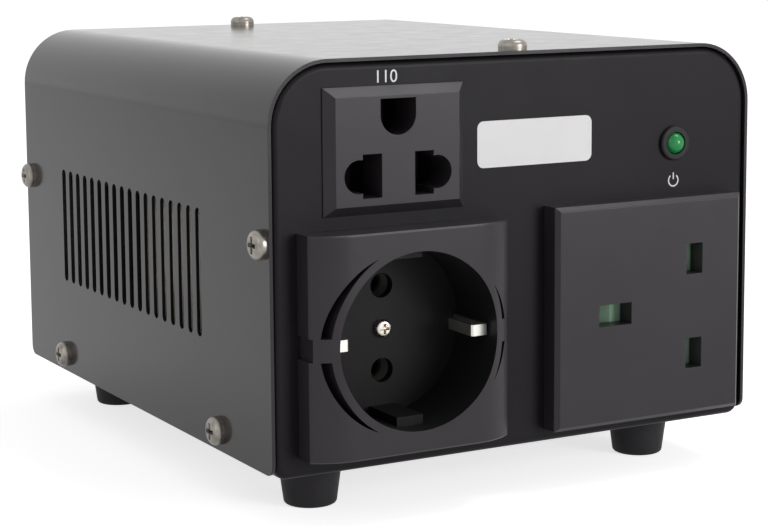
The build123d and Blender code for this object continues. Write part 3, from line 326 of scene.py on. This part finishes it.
def power_sign_mesh(name):
    """Ring that is open at its top, with an upright line in the opening, at the height of the print."""
    shape = bmesh.new()
    start = math.radians(90 + sign_opening)
    turn = math.radians(360 - 2 * sign_opening)
    rows = []
    for step in range(sign_steps + 1):
        angle = start + turn * step / sign_steps
        across = Vector((math.cos(angle), math.sin(angle), 0))
        ends = [across * (sign_radius + side * sign_line / 2) for side in (-1, 1)]
        rows.append([shape.verts.new(end + Vector((0, 0, ink_thickness))) for end in ends])
    for first, second in zip(rows, rows[1:]):
        shape.faces.new((first[0], first[1], second[1], second[0]))
    half = sign_line / 2
    corners = [(-half, sign_bar_start), (half, sign_bar_start), (half, sign_bar_end), (-half, sign_bar_end)]
    shape.faces.new([shape.verts.new((x, y * sign_radius, ink_thickness)) for x, y in corners])
    mesh = bpy.data.meshes.new(name)
    bmesh.ops.recalc_face_normals(shape, faces=shape.faces)
    shape.to_mesh(mesh)
    shape.free()
    return mesh


def place_print(name, mesh, place, rear=False):
    """White print on the front or rear panel."""
    piece = bpy.data.objects.new(name, mesh)
    turn = Matrix.Rotation(math.pi, 4, "Z") if rear else Matrix.Identity(4)
    piece.matrix_world = Matrix.Translation(place) @ turn @ Matrix.Rotation(math.pi / 2, 4, "X")
    mesh.materials.append(materials["label_film"])
    bpy.context.scene.collection.objects.link(piece)
    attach(piece, "root")


def add_prints():
    """Number and sign on the front panel, and the three numbers over the rear selector."""
    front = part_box("blank_label")[1][1]
    low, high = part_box("flat_socket_body")
    place = Vector(((low[0] + high[0]) / 2 + number_shift, front, high[2] + number_gap))
    place_print("front_number", number_mesh("front_number", "110", number_height), place)
    low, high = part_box("lamp")
    place = Vector(((low[0] + high[0]) / 2, front, (low[2] + high[2]) / 2 - sign_drop))
    place_print("lamp_sign", power_sign_mesh("lamp_sign"), place)
    low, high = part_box("rocker_housing")
    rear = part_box("chassis")[1][1]
    middle = (low[0] + high[0]) / 2
    for name, text, side in rocker_numbers:
        place = Vector((middle + side * rocker_number_offset, rear, high[2] + rocker_number_gap))
        place_print(name, number_mesh(name, text, number_height), place, True)


def ray_level(tree, seen, reflected):
    """One level for rays from the camera, another for glossy and transmission rays, and 0 for the rest."""
    path = tree.nodes.new("ShaderNodeLightPath")
    total = None
    for kind, level in (("Is Camera Ray", seen), ("Is Glossy Ray", reflected),
                        ("Is Transmission Ray", reflected)):
        part = tree.nodes.new("ShaderNodeMath")
        part.operation = "MULTIPLY"
        part.inputs[1].default_value = level
        tree.links.new(path.outputs[kind], part.inputs[0])
        if total is None:
            total = part.outputs["Value"]
            continue
        larger = tree.nodes.new("ShaderNodeMath")
        larger.operation = "MAXIMUM"
        tree.links.new(total, larger.inputs[0])
        tree.links.new(part.outputs["Value"], larger.inputs[1])
        total = larger.outputs["Value"]
    return total


def make_world():
    """Even light on the object, with a white backdrop for the camera and for reflections."""
    world = bpy.data.worlds.new("studio")
    bpy.context.scene.world = world
    world.use_nodes = True
    world.cycles.sampling_method = "NONE"
    tree = world.node_tree
    tree.nodes.clear()
    out = tree.nodes.new("ShaderNodeOutputWorld")
    seen = tree.nodes.new("ShaderNodeBackground")
    seen.inputs["Color"].default_value = white
    lighting = tree.nodes.new("ShaderNodeBackground")
    lighting.inputs["Color"].default_value = white
    lighting.inputs["Strength"].default_value = world_level
    mixer = tree.nodes.new("ShaderNodeMixShader")
    tree.links.new(ray_level(tree, backdrop_level, backdrop_level), mixer.inputs["Fac"])
    tree.links.new(lighting.outputs["Background"], mixer.inputs[1])
    tree.links.new(seen.outputs["Background"], mixer.inputs[2])
    tree.links.new(mixer.outputs["Shader"], out.inputs["Surface"])


def make_floor():
    """Matt floor that takes the object's shadow and glows for the camera and for reflections."""
    mesh = bpy.data.meshes.new("floor")
    corners = [(x * floor_half, y * floor_half, 0) for x, y in ((-1, -1), (1, -1), (1, 1), (-1, 1))]
    mesh.from_pydata(corners, [], [(0, 1, 2, 3)])
    floor = bpy.data.objects.new("floor", mesh)
    bpy.context.scene.collection.objects.link(floor)
    mat = bpy.data.materials.new("floor")
    mat.use_nodes = True
    mat.cycles.emission_sampling = "NONE"
    tree = mat.node_tree
    tree.nodes.clear()
    out = tree.nodes.new("ShaderNodeOutputMaterial")
    matt = tree.nodes.new("ShaderNodeBsdfDiffuse")
    matt.inputs["Color"].default_value = floor_colour
    glow = tree.nodes.new("ShaderNodeEmission")
    glow.inputs["Color"].default_value = white
    tree.links.new(ray_level(tree, floor_glow, floor_reflected_glow), glow.inputs["Strength"])
    both = tree.nodes.new("ShaderNodeAddShader")
    tree.links.new(matt.outputs["BSDF"], both.inputs[0])
    tree.links.new(glow.outputs["Emission"], both.inputs[1])
    tree.links.new(both.outputs["Shader"], out.inputs["Surface"])
    mesh.materials.append(mat)


def make_lamps():
    """Square area lamps, turned to the target."""
    for name, place, size, power in lamps:
        data = bpy.data.lights.new(name, "AREA")
        data.shape = "SQUARE"
        data.size = size
        data.energy = power
        lamp = bpy.data.objects.new(name, data)
        lamp.location = place
        lamp.rotation_euler = (lamp_target - Vector(place)).to_track_quat("-Z", "Y").to_euler()
        bpy.context.scene.collection.objects.link(lamp)


def make_camera():
    """Camera of the photograph."""
    data = bpy.data.cameras.new("camera")
    data.sensor_width = camera_sensor
    data.lens = camera_lens
    data.shift_y = camera_shift_y
    data.clip_start = camera_nearest
    data.clip_end = camera_farthest
    camera = bpy.data.objects.new("camera", data)
    side = camera_forward.cross(camera_up).normalized()
    up = side.cross(camera_forward).normalized()
    turn = Matrix((side, up, -camera_forward)).transposed().to_4x4()
    camera.matrix_world = Matrix.Translation(camera_place) @ turn
    bpy.context.scene.collection.objects.link(camera)
    bpy.context.scene.camera = camera


materials = {name: finish_material(name, **values) for name, values in surfaces.items()}
dress_nodes()
darken_recess()
for node in rounded_nodes:
    soften_edges(node)
add_prints()
make_world()
make_floor()
make_lamps()
make_camera()
bpy.context.scene.view_settings.view_transform = "Standard"
